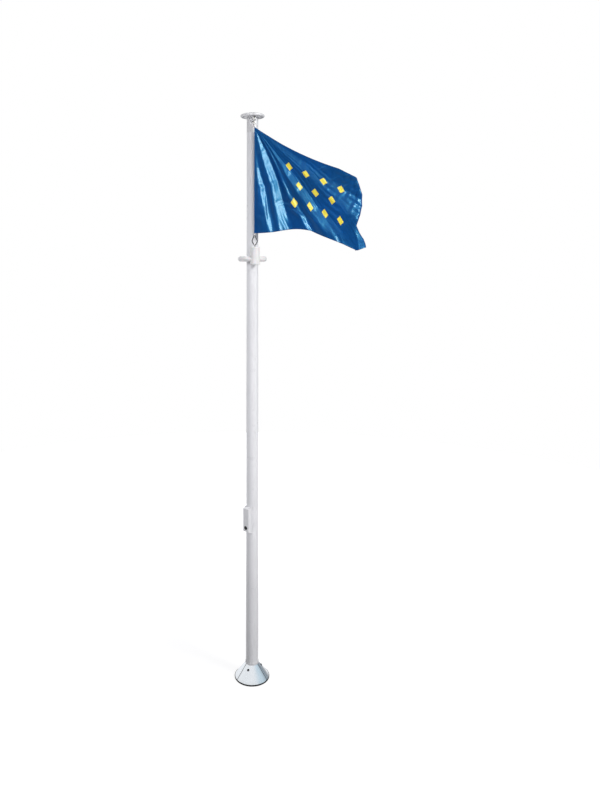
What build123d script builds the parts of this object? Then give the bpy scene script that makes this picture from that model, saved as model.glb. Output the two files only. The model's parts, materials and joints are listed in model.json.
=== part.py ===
"""Flagpole, 5 m: tapered tube on a bolted flange, three-part cone cover, internal halyard with a
lockable door, turning mushroom truck, and a flag kept down by a counterweight that rides on a
guide ring round the pole.

Millimetres, +Z up. The origin is the centre of the base flange's underside. The viewer's side is -Y.
Turns are degrees about +Z, counted from +X.
"""

import os
from math import asin, atan2, cos, degrees, hypot, radians, sin, sqrt

from build123d import *

os.makedirs("parts", exist_ok=True)

# Fits
touch_gap = 0.3  # between curved faces that seat on each other
turning_gap = 0.4  # radial, round a stem or plug that turns
pin_gap = 0.1  # radial, round a pin

# Base flange, bolted to the foundation
flange_radius = 128
flange_thickness = 12
flange_edge_chamfer = 2
anchor_count = 4
anchor_circle_radius = 100
anchor_hole_radius = 9
gusset_thickness = 6
gusset_height = 60
socket_wall = 5
socket_height = 100

# Pole tube
pole_foot_radius = 59
pole_head_radius = 45
pole_wall = 3
pole_top_z = 4850

# Cone cover and its trim
cover_radius = 162
cover_lip_height = 10
cover_thickness = 2
cover_top_z = 151
cover_sectors = 3
cover_seam = 0.5  # degrees
collar_wall = 3.5
collar_height = 19
seal_height = 9
seal_width = 7
seal_groove_depth = 6
cover_screw_turn = -24  # degrees from the middle of each sector
cover_screw_drop = 0.25  # share of the cone's slope, from its top edge
cover_screw_head_radius = 8.5
cover_screw_head_height = 4
cover_screw_radius = 4
cover_screw_length = 20

# Halyard door on the tube
door_turn = 225
door_width = 70
door_bottom_z = 1498
door_height = 218
door_proud = 26.6  # from the tube's surface to the door's face
door_depth = 20.5  # of the cover, up to its joint with the frame
door_joint_gap = 0.5
door_wall = 3
door_slope = 17  # rise of the rain slope from the face back to the pole
door_root_depth = 0.6  # of the housing's side edges under the tube's surface
opening_side_margin = 10
opening_end_margin = 11.5
opening_corner_radius = 8
knuckle_radius = 4.5
knuckle_height = 16
knuckle_gap = 0.5
knuckle_offset = 5
knuckle_leaf = 5
hinge_inset = 34
hinge_pin_radius = 2
lock_height = 37  # above the door's lower edge
lock_rim_radius = 18
lock_rim_height = 3
lock_barrel_radius = 13
lock_barrel_length = 15
lock_plug_radius = 9
key_slot_width = 2
key_slot_length = 9
key_slot_depth = 5
lock_cam_length = 21
lock_cam_width = 12
lock_cam_thickness = 2.5

# Halyard and its cleat inside the tube
rope_radius = 3
cleat_rise = 3  # above the middle of the door
cleat_length = 110
cleat_horn_radius = 5.5
cleat_rope_gap = 0.5  # from its horn to the halyard that runs past
cleat_post_radius = 8
cleat_foot_width = 28
cleat_foot_height = 60
cleat_foot_thickness = 5
hitch_turns = 2

# Truck
bearing_flange = 3
bearing_depth = 35
stem_radius = 20
stem_height = 30
truck_height = 114  # from the tube's end up to the cap
rope_bore_radius = 6
lead_turn = -77  # the side that the halyard leaves the truck on
lead_clearance = 15  # from the tube's head to the middle of the outer halyard
pulley_drop = 14  # of its axis below the cap
pulley_width = 14
pulley_rim = 4
pulley_flange = 3
pulley_clearance = 4
slot_side_gap = 0.5
cheek_thickness = 5
cheek_margin = 3  # past the pulley's rim
cheek_drop = 36
cheek_round = 14
pulley_pin_radius = 4
pulley_pin_length = 60
cap_radius = 95
cap_rim_height = 18
cap_edge_round = 8
cap_crown_height = 32
cap_rim_width = 9
cap_hollow_width = 16
cap_hollow_depth = 9
cap_pocket_clearance = 2  # over the pulley
cap_nut_radius = 9
cap_nut_height = 3.7

# Flag and its fittings
flag_hoist = 800
flag_thickness = 3
flag_waves = 5
flag_wave_length = 176
flag_wave_depth = 45
# Where the flag's edges run in a light wind: shares of its reach out and of its hoist down,
# from the upper hoist corner and back to the lower one.
flag_outline = [
    (0, 0),
    (0.23, 0.15),
    (0.51, 0.3),
    (0.94, 0.51),
    (1, 0.71),
    (0.94, 0.88),
    (1, 1.12),
    (0.9, 1.18),
    (0.72, 1.06),
    (0.5, 0.98),
    (0, 1),
]
knot_radius = 5.5
knot_height = 7
knot_loop_radius = 6.3
knot_rope_radius = 2.6
hook_wire_radius = 3
hook_clearance = 5  # of its upper wire's middle below the pulley
hook_drop = 20  # from its upper wire to its lower one
hook_run = 12  # from its upper wire out to its lower one, which the flag hangs in
hook_width = 36
loop_wire_radius = 1.5
loop_width = 15
top_loop_height = 16
bottom_loop_height = 25
karabiner_crown_run = 2  # from the flag's hoist edge out to its top
karabiner_top = 49  # corners of its outline before rounding, from its middle
karabiner_shoulder = -6
karabiner_bottom = -45
karabiner_half_width = 23
karabiner_wire_radius = 3.5
karabiner_end_round = 7
karabiner_side_round = 16
gate_start = 19  # along the karabiner's side, from its top corner
gate_length = 30
gate_wire_radius = 2.8
gate_barrel_radius = 3  # round its pivot
gate_barrel_length = 6
gate_gap = 0.5

# Counterweight and guide ring
weight_radius = 38
weight_height = 110  # above its band
weight_band_height = 29
weight_band_proud = 1.5
weight_shoulder_round = 7
weight_bottom_round = 4
weight_pole_gap = 10.6  # from the band to the tube
eye_inset = 8  # from the weight's axis back towards the flag
eye_radius = 7
eye_wire_radius = 2.5
eye_foot_radius = 8
eye_foot_height = 6
ring_rise = 16  # of its middle above the weight's band
ring_tube_radius = 21


def direction(turn):
    """Unit vector that points away from the pole's axis at this turn."""
    return Vector(cos(radians(turn)), sin(radians(turn)), 0)


def level(z, turn=0, out=0):
    """Horizontal plane at this height, local x outward at this turn, centred this far out."""
    centre = direction(turn) * out
    return Plane(origin=(centre.X, centre.Y, z), x_dir=direction(turn), z_dir=(0, 0, 1))


def upright(turn):
    """Vertical plane through the pole's axis, local x outward at this turn, local y up."""
    return Plane(origin=(0, 0, 0), x_dir=direction(turn), z_dir=direction(turn - 90))


def facing(turn, out, z=0, lean=0):
    """Vertical plane seen from outside, local x to the right, local y up, this far out.

    A lean tips its top towards the pole.
    """
    centre = direction(turn) * out
    outward = direction(turn) * cos(radians(lean)) + Vector(0, 0, sin(radians(lean)))
    return Plane(origin=(centre.X, centre.Y, z), x_dir=direction(turn + 90), z_dir=outward)


def pole_radius(z):
    """Outer radius of the tapered tube at this height."""
    share = (z - flange_thickness) / (pole_top_z - flange_thickness)
    return pole_foot_radius + (pole_head_radius - pole_foot_radius) * share


def crown_arc(radius, foot_z, crown_z):
    """Arc over a dome's half section, from its edge up to the axis, where it lies level."""
    height = crown_z - foot_z
    sphere_radius = (radius**2 + height**2) / (2 * height)
    centre_z = crown_z - sphere_radius
    middle = radius / 2
    return ThreePointArc(
        (radius, foot_z), (middle, centre_z + sqrt(sphere_radius**2 - middle**2)), (0, crown_z)
    )


def write(part, label):
    part.label = label
    export_step(part, f"parts/{label}.step")


# --- Base -----------------------------------------------------------------------------------------

with BuildPart() as base_flange:
    with BuildSketch():
        Circle(flange_radius)
        with PolarLocations(anchor_circle_radius, anchor_count, start_angle=45):
            Circle(anchor_hole_radius, mode=Mode.SUBTRACT)
    extrude(amount=flange_thickness)
    top_edges = base_flange.edges().filter_by(GeomType.CIRCLE).group_by(Axis.Z)[-1]
    chamfer(top_edges.sort_by(SortBy.RADIUS)[-1], flange_edge_chamfer)
write(base_flange.part, "base_flange")

socket_inner_radius = pole_foot_radius + touch_gap
socket_outer_radius = socket_inner_radius + socket_wall

with BuildPart() as pole_socket:
    with BuildSketch(level(flange_thickness)):
        Circle(socket_outer_radius)
        Circle(socket_inner_radius, mode=Mode.SUBTRACT)
    extrude(amount=socket_height)
write(pole_socket.part, "pole_socket")

gusset_reach = flange_radius - socket_outer_radius - 6

with BuildPart() as socket_gussets:
    for number in range(anchor_count):
        with BuildSketch(upright(90 * number)):
            with BuildLine():
                Polyline(
                    (socket_outer_radius + touch_gap, flange_thickness),
                    (socket_outer_radius + gusset_reach, flange_thickness),
                    (socket_outer_radius + gusset_reach, flange_thickness + 8),
                    (socket_outer_radius + touch_gap + 4, flange_thickness + gusset_height),
                    (socket_outer_radius + touch_gap, flange_thickness + gusset_height),
                    close=True,
                )
            make_face()
        extrude(amount=gusset_thickness / 2, both=True)
write(socket_gussets.part, "socket_gussets")

# --- Pole tube, open behind the door --------------------------------------------------------------

opening_z = door_bottom_z + door_height / 2
opening_width = door_width - 2 * opening_side_margin
opening_height = door_height - 2 * opening_end_margin
door_tube_radius = pole_radius(opening_z)
door_face_out = door_tube_radius + door_proud
door_joint_out = door_face_out - door_depth
door_root_out = sqrt(door_tube_radius**2 - (door_width / 2) ** 2) - door_root_depth

with BuildPart() as pole_tube:
    with BuildSketch(upright(0)):
        with BuildLine():
            Polyline(
                (pole_foot_radius - pole_wall, flange_thickness),
                (pole_foot_radius, flange_thickness),
                (pole_head_radius, pole_top_z),
                (pole_head_radius - pole_wall, pole_top_z),
                close=True,
            )
        make_face()
    revolve(axis=Axis.Z)
    with BuildSketch(facing(door_turn, 0, opening_z)):
        RectangleRounded(opening_width, opening_height, opening_corner_radius)
    extrude(amount=door_face_out, mode=Mode.SUBTRACT)
write(pole_tube.part, "pole_tube")

# --- Cone cover -----------------------------------------------------------------------------------

collar_inner_radius = pole_radius(cover_top_z) + touch_gap
collar_outer_radius = collar_inner_radius + collar_wall
seal_groove_z = seal_height - seal_groove_depth
cone_foot_z = seal_groove_z + cover_lip_height
cone_run = cover_radius - collar_outer_radius
cone_rise = cover_top_z - cone_foot_z
cone_angle = degrees(atan2(cone_rise, cone_run))
cover_inset = cover_thickness / sin(radians(cone_angle))  # horizontal thickness of the slope
cover_step = cover_thickness / cos(radians(cone_angle))  # vertical thickness of the slope
sector_turn = 360 / cover_sectors
screw_head_radius_out = collar_outer_radius + cone_run * cover_screw_drop
screw_head_z = cover_top_z - cone_rise * cover_screw_drop


def cover_screw_plane(number):
    """Plane square to the cone at this sector's screw, its z axis pointing out of the cover."""
    turn = -90 + sector_turn * number + cover_screw_turn
    outward = direction(turn) * sin(radians(cone_angle)) + Vector(0, 0, cos(radians(cone_angle)))
    foot = direction(turn) * screw_head_radius_out
    return Plane(origin=(foot.X, foot.Y, screw_head_z), x_dir=direction(turn + 90), z_dir=outward)


def cone_sector(number):
    """One third of the sheet metal cone with its upright lip."""
    start = -90 + sector_turn * (number - 0.5) + cover_seam / 2
    with BuildPart() as sector:
        with BuildSketch(upright(start)):
            with BuildLine():
                Polyline(
                    (cover_radius, seal_groove_z),
                    (cover_radius, cone_foot_z),
                    (collar_outer_radius, cover_top_z),
                    (collar_inner_radius, cover_top_z),
                    (collar_inner_radius, cover_top_z - cover_thickness),
                    (collar_outer_radius - cover_inset * 0.4, cover_top_z - cover_thickness),
                    (cover_radius - cover_thickness, cone_foot_z - cover_step * 0.4),
                    (cover_radius - cover_thickness, seal_groove_z),
                    close=True,
                )
            make_face()
        revolve(axis=Axis.Z, revolution_arc=sector_turn - cover_seam)
        with BuildSketch(cover_screw_plane(number)):
            Circle(cover_screw_radius + touch_gap)
        extrude(amount=cover_screw_length, both=True, mode=Mode.SUBTRACT)
    return sector.part


sector_names = ["cone_sector_front", "cone_sector_right", "cone_sector_left"]
for number, name in enumerate(sector_names):
    write(cone_sector(number), name)

with BuildPart() as cover_screws:
    for number in range(cover_sectors):
        with BuildSketch(cover_screw_plane(number).offset(touch_gap)):
            Circle(cover_screw_head_radius)
        extrude(amount=cover_screw_head_height, taper=12)
        with BuildSketch(cover_screw_plane(number).offset(touch_gap)):
            Circle(cover_screw_radius)
        extrude(amount=-cover_screw_length)
write(cover_screws.part, "cover_screws")

with BuildPart() as cone_collar:
    with BuildSketch(level(cover_top_z)):
        Circle(collar_outer_radius)
        Circle(collar_inner_radius, mode=Mode.SUBTRACT)
    extrude(amount=collar_height)
    rim_edges = cone_collar.edges().group_by(Axis.Z)[-1].filter_by(GeomType.CIRCLE)
    fillet(rim_edges.sort_by(SortBy.RADIUS)[-1], collar_wall * 0.6)
write(cone_collar.part, "cone_collar")

with BuildPart() as rim_seal:
    with BuildSketch(upright(0)):
        with Locations((cover_radius - cover_thickness / 2, seal_height / 2)):
            RectangleRounded(seal_width, seal_height, 2)
        with Locations((cover_radius - cover_thickness / 2, seal_height)):
            Rectangle(cover_thickness, 2 * seal_groove_depth, mode=Mode.SUBTRACT)
    revolve(axis=Axis.Z)
write(rim_seal.part, "rim_seal")

# --- Halyard door ---------------------------------------------------------------------------------

door_top_z = door_bottom_z + door_height
hinge_side = -(door_width / 2 + knuckle_offset)
hinge_out = door_joint_out - door_joint_gap / 2
hinge_levels = [door_bottom_z + hinge_inset, door_top_z - hinge_inset - 2 * knuckle_height]
lock_z = door_bottom_z + lock_height


def housing_block(inner_out, outer_out):
    """The door housing's outline between two distances from the axis, with both ends sloped."""
    run = door_face_out - door_root_out

    def rise(out):
        return door_slope * (door_face_out - out) / run

    with BuildPart() as block:
        with BuildSketch(upright(door_turn)):
            with BuildLine():
                Polyline(
                    (inner_out, door_bottom_z - rise(inner_out)),
                    (outer_out, door_bottom_z - rise(outer_out)),
                    (outer_out, door_top_z + rise(outer_out)),
                    (inner_out, door_top_z + rise(inner_out)),
                    close=True,
                )
            make_face()
        extrude(amount=door_width / 2, both=True)
    return block.part


def knuckle(z, side_out):
    """Hinge barrel at this height with a leaf towards the housing, bored for the pin."""
    leaf_reach = knuckle_offset + 1
    axis_plane = level(z, door_turn)
    with BuildPart() as barrel:
        with BuildSketch(axis_plane):
            with Locations((hinge_out, hinge_side)):
                Circle(knuckle_radius)
            with Locations((hinge_out + side_out, hinge_side + leaf_reach / 2)):
                Rectangle(knuckle_leaf, leaf_reach)
            with Locations((hinge_out + side_out / 2, hinge_side)):
                Rectangle(abs(side_out), knuckle_radius)
            with Locations((hinge_out, hinge_side)):
                Circle(hinge_pin_radius + pin_gap, mode=Mode.SUBTRACT)
        extrude(amount=knuckle_height - knuckle_gap)
    return barrel.part


with BuildPart() as door_frame:
    add(housing_block(door_root_out - 3, door_joint_out - door_joint_gap))
    with BuildSketch(level(door_bottom_z - 60)):
        Circle(pole_radius(door_bottom_z - 60) + touch_gap)
    with BuildSketch(level(door_top_z + 60)):
        Circle(pole_radius(door_top_z + 60) + touch_gap)
    loft(mode=Mode.SUBTRACT)
    with BuildSketch(facing(door_turn, 0, opening_z)):
        RectangleRounded(opening_width, opening_height, opening_corner_radius)
    extrude(amount=door_face_out, mode=Mode.SUBTRACT)
    for z in hinge_levels:
        add(knuckle(z, -knuckle_leaf))
write(door_frame.part, "door_frame")

tray_depth = door_face_out - door_joint_out - door_wall

with BuildPart() as door_cover:
    add(housing_block(door_joint_out, door_face_out))
    face_edges = door_cover.faces().sort_by(Axis((0, 0, 0), tuple(direction(door_turn))))[-1].edges()
    fillet(face_edges, 3)
    with BuildSketch(facing(door_turn, door_joint_out, opening_z)):
        Rectangle(door_width - 2 * door_wall, door_height - 2 * door_wall)
    extrude(amount=tray_depth, mode=Mode.SUBTRACT)
    with BuildSketch(facing(door_turn, door_face_out, lock_z)):
        Circle(lock_barrel_radius + pin_gap)
    extrude(amount=-2 * door_wall, mode=Mode.SUBTRACT)
    for z in hinge_levels:
        add(knuckle(z + knuckle_height, knuckle_leaf))
write(door_cover.part, "door_cover")

with BuildPart() as hinge_pins:
    for z in hinge_levels:
        with BuildSketch(level(z - 1, door_turn)):
            with Locations((hinge_out, hinge_side)):
                Circle(hinge_pin_radius)
        extrude(amount=2 * knuckle_height + 1.5)
write(hinge_pins.part, "hinge_pins")

with BuildPart() as lock_housing:
    with BuildSketch(facing(door_turn, door_face_out, lock_z)):
        Circle(lock_rim_radius)
    extrude(amount=lock_rim_height, taper=25)
    with BuildSketch(facing(door_turn, door_face_out, lock_z)):
        Circle(lock_barrel_radius)
    extrude(amount=-lock_barrel_length)
    with BuildSketch(facing(door_turn, door_face_out - lock_barrel_length, lock_z)):
        Circle(lock_plug_radius + pin_gap)
    extrude(amount=lock_barrel_length + lock_rim_height, mode=Mode.SUBTRACT)
write(lock_housing.part, "lock_housing")

cam_back_out = door_joint_out + 1.5
cam_front_out = cam_back_out + lock_cam_thickness
plug_front_out = door_face_out + lock_rim_height - 1

with BuildPart() as lock_plug:
    with BuildSketch(facing(door_turn, cam_front_out, lock_z)):
        Circle(lock_plug_radius)
    extrude(amount=plug_front_out - cam_front_out)
    with BuildSketch(facing(door_turn, plug_front_out, lock_z)):
        SlotOverall(key_slot_length, key_slot_width, rotation=90)
    extrude(amount=-key_slot_depth, mode=Mode.SUBTRACT)
write(lock_plug.part, "lock_plug")

with BuildPart() as lock_cam:
    with BuildSketch(facing(door_turn, cam_back_out, lock_z)):
        with BuildLine():
            cam_half = lock_cam_width / 2
            Polyline(
                (0, cam_half),
                (lock_cam_length - 2, cam_half),
                (lock_cam_length, cam_half - 2),
                (lock_cam_length, -cam_half),
                (0, -cam_half),
            )
            ThreePointArc((0, -cam_half), (-cam_half, 0), (0, cam_half))
        make_face()
    extrude(amount=lock_cam_thickness)
write(lock_cam.part, "lock_cam")

# --- Cleat and the halyard inside the tube --------------------------------------------------------

cleat_z = opening_z + cleat_rise
cleat_horn_out = -(rope_radius + cleat_rope_gap + cleat_horn_radius)
cleat_back_out = -(pole_radius(cleat_z + cleat_foot_height / 2) - pole_wall)
cleat_foot_front = cleat_back_out + cleat_foot_thickness + 4

with BuildPart() as halyard_cleat:
    with BuildSketch(facing(door_turn, cleat_back_out - 5, cleat_z)):
        RectangleRounded(cleat_foot_width, cleat_foot_height, 6)
    extrude(amount=cleat_foot_front - cleat_back_out + 5)
    with BuildSketch(facing(door_turn, cleat_foot_front - 1, cleat_z)):
        Circle(cleat_post_radius)
    extrude(amount=cleat_horn_out - cleat_foot_front + 1)
    with BuildSketch(level(cleat_z - cleat_length / 2, door_turn)):
        with Locations((cleat_horn_out, 0)):
            Circle(cleat_horn_radius)
    extrude(amount=cleat_length)
    horn_ends = halyard_cleat.edges().filter_by(GeomType.CIRCLE).group_by(Axis.Z)
    fillet(horn_ends[0] + horn_ends[-1], cleat_horn_radius * 0.7)
    with BuildSketch(level(cleat_z - cleat_length)):
        Circle(2 * pole_foot_radius)
        Circle(pole_radius(cleat_z + cleat_foot_height / 2) - pole_wall - touch_gap, mode=Mode.SUBTRACT)
    extrude(amount=2 * cleat_length, mode=Mode.SUBTRACT)
write(halyard_cleat.part, "halyard_cleat")

neck_top_z = pole_top_z + truck_height
pulley_z = neck_top_z - pulley_drop
hitch_radius = cleat_post_radius + rope_radius + touch_gap
hitch_first_out = cleat_foot_front + rope_radius + 1

with BuildPart() as halyard_hitch:
    for number in range(hitch_turns):
        hitch_out = hitch_first_out + number * (2 * rope_radius + touch_gap)
        with BuildSketch(upright(door_turn)):
            with Locations((hitch_out, cleat_z + hitch_radius)):
                Circle(rope_radius)
        revolve(axis=Axis(tuple(direction(door_turn) * hitch_out + Vector(0, 0, cleat_z)),
                          tuple(direction(door_turn))))
write(halyard_hitch.part, "halyard_hitch")

# The halyard's inner run ends beside the cleat's upper horn.
with BuildPart() as halyard_inner:
    with BuildSketch(level(cleat_z)):
        Circle(rope_radius)
    extrude(amount=pulley_z - cleat_z)
write(halyard_inner.part, "halyard_inner")

# --- Truck ----------------------------------------------------------------------------------------

bearing_top_z = pole_top_z + bearing_flange
bearing_bottom_z = pole_top_z - bearing_depth
bearing_radius = pole_head_radius - pole_wall - touch_gap

with BuildPart() as truck_bearing:
    with BuildSketch(level(bearing_bottom_z)):
        Circle(bearing_radius)
    extrude(amount=bearing_depth)
    with BuildSketch(level(pole_top_z)):
        Circle(pole_head_radius)
    extrude(amount=bearing_flange)
    with BuildSketch(level(bearing_top_z)):
        Circle(stem_radius)
    extrude(amount=stem_height)
    with BuildSketch(level(bearing_bottom_z)):
        Circle(rope_bore_radius)
    extrude(amount=bearing_depth + bearing_flange + stem_height, mode=Mode.SUBTRACT)
write(truck_bearing.part, "truck_bearing")

lead_radius = pole_head_radius + lead_clearance
pulley_centre_out = lead_radius / 2
pulley_root_radius = lead_radius / 2 - rope_radius - touch_gap / 2
pulley_radius = lead_radius / 2 + pulley_rim
slot_floor_z = pulley_z - pulley_radius - pulley_clearance
slot_width = pulley_width + 2 * slot_side_gap
slot_back_out = pulley_centre_out - pulley_radius - pulley_clearance
cheek_out = pulley_centre_out + pulley_radius + cheek_margin
neck_bottom_z = bearing_top_z + touch_gap
stem_bore_top_z = bearing_top_z + stem_height + touch_gap
pulley_axis = Axis(
    tuple(direction(lead_turn) * pulley_centre_out + Vector(0, 0, pulley_z)),
    tuple(direction(lead_turn + 90)),
)

with BuildPart() as truck_neck:
    with BuildSketch(level(neck_bottom_z)):
        Circle(pole_head_radius)
    extrude(amount=neck_top_z - neck_bottom_z)
    with BuildSketch(upright(lead_turn)):
        with BuildLine():
            Line((pulley_centre_out, neck_top_z), (cheek_out, neck_top_z))
            Line((cheek_out, neck_top_z), (cheek_out, neck_top_z - cheek_drop + cheek_round))
            CenterArc(
                (cheek_out - cheek_round, neck_top_z - cheek_drop + cheek_round), cheek_round, 0, -90
            )
            Line(
                (cheek_out - cheek_round, neck_top_z - cheek_drop),
                (pulley_centre_out, neck_top_z - cheek_drop),
            )
            Line((pulley_centre_out, neck_top_z - cheek_drop), (pulley_centre_out, neck_top_z))
        make_face()
    extrude(amount=slot_width / 2 + cheek_thickness, both=True)
    with BuildSketch(upright(lead_turn)):
        with BuildLine():
            Polyline(
                (slot_back_out, slot_floor_z),
                (cheek_out + 1, slot_floor_z),
                (cheek_out + 1, neck_top_z + 1),
                (slot_back_out, neck_top_z + 1),
                close=True,
            )
        make_face()
    extrude(amount=slot_width / 2, both=True, mode=Mode.SUBTRACT)
    with BuildSketch(level(neck_bottom_z)):
        Circle(stem_radius + turning_gap)
    extrude(amount=stem_bore_top_z - neck_bottom_z, mode=Mode.SUBTRACT)
    with BuildSketch(level(neck_bottom_z)):
        Circle(rope_bore_radius)
    extrude(amount=slot_floor_z - neck_bottom_z + 1, mode=Mode.SUBTRACT)
    with BuildSketch(facing(lead_turn + 90, 0)):
        with Locations((-pulley_centre_out, pulley_z)):
            Circle(pulley_pin_radius + pin_gap)
    extrude(amount=pole_head_radius, both=True, mode=Mode.SUBTRACT)
write(truck_neck.part, "truck_neck")

with BuildPart() as pulley:
    with BuildSketch(Plane(origin=pulley_axis.position, x_dir=(0, 0, 1), z_dir=direction(lead_turn))):
        with BuildLine():
            half = pulley_width / 2
            groove_half = half - pulley_flange
            bore = pulley_pin_radius + pin_gap
            Polyline(
                (bore, -half),
                (pulley_radius, -half),
                (pulley_radius, -groove_half - 0.5),
                (pulley_root_radius, -groove_half),
                (pulley_root_radius, groove_half),
                (pulley_radius, groove_half + 0.5),
                (pulley_radius, half),
                (bore, half),
                close=True,
            )
        make_face()
    revolve(axis=pulley_axis)
write(pulley.part, "pulley")

with BuildPart() as pulley_pin:
    with BuildSketch(facing(lead_turn + 90, 0)):
        with Locations((-pulley_centre_out, pulley_z)):
            Circle(pulley_pin_radius)
    extrude(amount=pulley_pin_length / 2, both=True)
write(pulley_pin.part, "pulley_pin")

with BuildPart() as halyard_bend:
    with BuildSketch(level(pulley_z)):
        Circle(rope_radius)
    revolve(axis=pulley_axis, revolution_arc=180)
write(halyard_bend.part, "halyard_bend")

cap_rim_top_z = neck_top_z + cap_rim_height
cap_crown_z = neck_top_z + cap_crown_height
cap_hollow_outer_radius = cap_radius - cap_rim_width
cap_boss_radius = cap_hollow_outer_radius - cap_hollow_width
nut_bottom_z = cap_crown_z + touch_gap

with BuildPart() as truck_cap:
    with BuildSketch(upright(0)):
        with BuildLine():
            Line((0, neck_top_z), (cap_radius - cap_edge_round, neck_top_z))
            ThreePointArc(
                (cap_radius - cap_edge_round, neck_top_z),
                (cap_radius, neck_top_z + cap_rim_height / 2),
                (cap_radius - cap_edge_round, cap_rim_top_z),
            )
            crown_arc(cap_radius - cap_edge_round, cap_rim_top_z, cap_crown_z)
            Line((0, cap_crown_z), (0, neck_top_z))
        make_face()
    revolve(axis=Axis.Z)
    with BuildSketch(level(neck_top_z)):
        Circle(cap_hollow_outer_radius)
        Circle(cap_boss_radius, mode=Mode.SUBTRACT)
    extrude(amount=cap_hollow_depth, taper=15, mode=Mode.SUBTRACT)
    with BuildSketch(level(neck_top_z, lead_turn, (slot_back_out + cheek_out) / 2)):
        Rectangle(cheek_out - slot_back_out, slot_width)
    extrude(amount=pulley_z + pulley_radius + cap_pocket_clearance - neck_top_z, mode=Mode.SUBTRACT)
write(truck_cap.part, "truck_cap")

with BuildPart() as cap_nut:
    with BuildSketch(upright(0)):
        with BuildLine():
            Line((0, nut_bottom_z), (cap_nut_radius, nut_bottom_z))
            crown_arc(cap_nut_radius, nut_bottom_z, nut_bottom_z + cap_nut_height)
            Line((0, nut_bottom_z + cap_nut_height), (0, nut_bottom_z))
        make_face()
    revolve(axis=Axis.Z)
write(cap_nut.part, "cap_nut")

# --- Flag and its fittings ------------------------------------------------------------------------

hook_top_z = pulley_z - pulley_radius - hook_clearance
knot_top_z = hook_top_z + knot_loop_radius + knot_rope_radius + touch_gap + 3

with BuildPart() as halyard_outer:
    with BuildSketch(level(knot_top_z, lead_turn, lead_radius)):
        Circle(rope_radius)
    extrude(amount=pulley_z - knot_top_z)
write(halyard_outer.part, "halyard_outer")


def across_axis(out, z):
    """Horizontal axis square to the halyard's side, this far out and this high."""
    return Axis(tuple(direction(lead_turn) * out + Vector(0, 0, z)), tuple(direction(lead_turn + 90)))


knot_loop_z = hook_top_z - hook_wire_radius - touch_gap + knot_loop_radius - knot_rope_radius

with BuildPart() as halyard_knot:
    with BuildSketch(level(knot_loop_z, lead_turn)):
        with Locations((lead_radius + knot_loop_radius, 0)):
            Circle(knot_rope_radius)
    revolve(axis=across_axis(lead_radius, knot_loop_z))
    with BuildSketch(level(knot_top_z, lead_turn, lead_radius)):
        Circle(knot_radius)
    extrude(amount=-knot_height)
    fillet(halyard_knot.edges().group_by(Axis.Z)[-1], 2)
write(halyard_knot.part, "halyard_knot")

flag_radius = lead_radius + hook_run
hook_height = hypot(hook_run, hook_drop)
hook_plane = facing(
    lead_turn,
    lead_radius + hook_run / 2,
    hook_top_z - hook_drop / 2,
    degrees(atan2(hook_run, hook_drop)),
)

with BuildPart() as top_hook:
    with BuildLine(hook_plane) as hook_line:
        side = (hook_width - hook_height) / 2
        half = hook_height / 2
        Line((-side, half), (side, half))
        CenterArc((side, 0), half, 90, -180)
        Line((side, -half), (-side, -half))
        CenterArc((-side, 0), half, 270, -180)
    with BuildSketch(Plane(origin=hook_line.line @ 0, z_dir=hook_line.line % 0)):
        Circle(hook_wire_radius)
    sweep()
write(top_hook.part, "top_hook")


def strap_loop(bottom_z, top_z, out):
    """Upright loop of thin wire, square to the flag, between two heights of its outside."""
    half = loop_width / 2 - loop_wire_radius
    side = (top_z - bottom_z) / 2 - loop_wire_radius - half
    middle = (top_z + bottom_z) / 2
    with BuildPart() as loop:
        with BuildLine(upright(lead_turn)) as loop_line:
            Line((out + half, middle - side), (out + half, middle + side))
            CenterArc((out, middle + side), half, 0, 180)
            Line((out - half, middle + side), (out - half, middle - side))
            CenterArc((out, middle - side), half, 180, 180)
        with BuildSketch(Plane(origin=loop_line.line @ 0, z_dir=loop_line.line % 0)):
            Circle(loop_wire_radius)
        sweep()
    return loop.part


hook_foot_z = hook_top_z - hook_drop
top_loop_top_z = hook_foot_z + hook_wire_radius + touch_gap + 2 * loop_wire_radius
top_loop_bottom_z = top_loop_top_z - top_loop_height
write(strap_loop(top_loop_bottom_z, top_loop_top_z, flag_radius), "flag_loop_top")

flag_top_z = top_loop_bottom_z - touch_gap
flag_foot_z = flag_top_z - flag_hoist
bottom_loop_top_z = flag_foot_z - touch_gap
bottom_loop_bottom_z = bottom_loop_top_z - bottom_loop_height
crown_out = flag_radius + karabiner_crown_run
write(strap_loop(bottom_loop_bottom_z, bottom_loop_top_z, crown_out), "flag_loop_bottom")

# The karabiner's top hangs in the loop, and it leans out so that its foot is over the weight's eye.
upper_half_angle = atan2(karabiner_half_width, karabiner_top - karabiner_shoulder)
lower_half_angle = atan2(karabiner_half_width, karabiner_shoulder - karabiner_bottom)
karabiner_crown = karabiner_top - karabiner_end_round * (1 / sin(upper_half_angle) - 1)
karabiner_foot = karabiner_bottom + karabiner_end_round * (1 / sin(lower_half_angle) - 1)
karabiner_length = karabiner_crown - karabiner_foot
weight_band_radius = weight_radius + weight_band_proud
weight_out = pole_radius(flag_foot_z) + weight_pole_gap + weight_band_radius
eye_out = weight_out - eye_inset
karabiner_lean = degrees(asin((eye_out - crown_out) / karabiner_length))
crown_z = bottom_loop_bottom_z + 2 * loop_wire_radius + touch_gap + karabiner_wire_radius
karabiner_z = crown_z - karabiner_crown * cos(radians(karabiner_lean))
karabiner_out = crown_out + karabiner_crown * sin(radians(karabiner_lean))
karabiner_plane = facing(lead_turn, karabiner_out, karabiner_z, karabiner_lean)
foot_z = karabiner_z + karabiner_foot * cos(radians(karabiner_lean))

flag_start = direction(lead_turn) * flag_radius
flag_reach = flag_waves * flag_wave_length

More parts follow.
